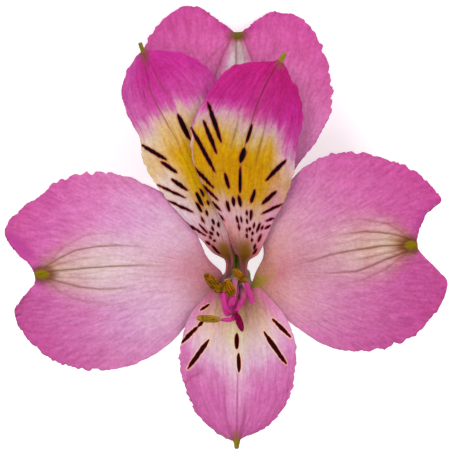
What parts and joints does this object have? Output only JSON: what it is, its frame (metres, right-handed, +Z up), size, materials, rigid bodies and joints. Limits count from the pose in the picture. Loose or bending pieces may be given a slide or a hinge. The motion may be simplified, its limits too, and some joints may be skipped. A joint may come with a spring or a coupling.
{
  "type": "cut peruvian lily bloom",
  "caption": "Cut Peruvian lily bloom lying face up, with broad notched outer tepals, narrower flecked inner tepals, loose stamens and a short bent pedicel.",
  "frame": {"origin": "centre of the bloom's footprint, on the surface that it lies on", "axes": "+Z up from the surface, +Y towards the uppermost tepal, +X to the right as seen from above with +Y up the picture"},
  "size_m": [0.0796, 0.0682, 0.0434],
  "materials": {
    "outer_tepal": "satin, pink with magenta margins",
    "upper_tepal": "satin, magenta tip, yellow middle and dark flecks",
    "lower_tepal": "satin, pink with a cream middle and dark red flecks",
    "filament": "satin magenta",
    "pollen": "matt olive gold",
    "unripe_anther": "satin maroon",
    "stem": "satin green"
  },
  "bodies": {
    "root": {"outer_tepal_top": "outer_tepal", "outer_tepal_left": "outer_tepal", "outer_tepal_right": "outer_tepal", "inner_tepal_lower": "lower_tepal", "inner_tepal_upper_left": "upper_tepal", "inner_tepal_upper_right": "upper_tepal", "filament_upper_left": "filament", "filament_upper_middle": "filament", "filament_upper_right": "filament", "filament_lower_left": "filament", "filament_lower_middle": "filament", "filament_hindmost": "filament", "anther_upper_left": "pollen", "anther_upper_middle": "pollen", "anther_upper_right": "pollen", "anther_lower_left": "pollen", "anther_lower_middle": "unripe_anther", "anther_hindmost": "pollen", "style": "filament", "ovary": "stem", "pedicel": "stem"}
  },
  "joints": []
}
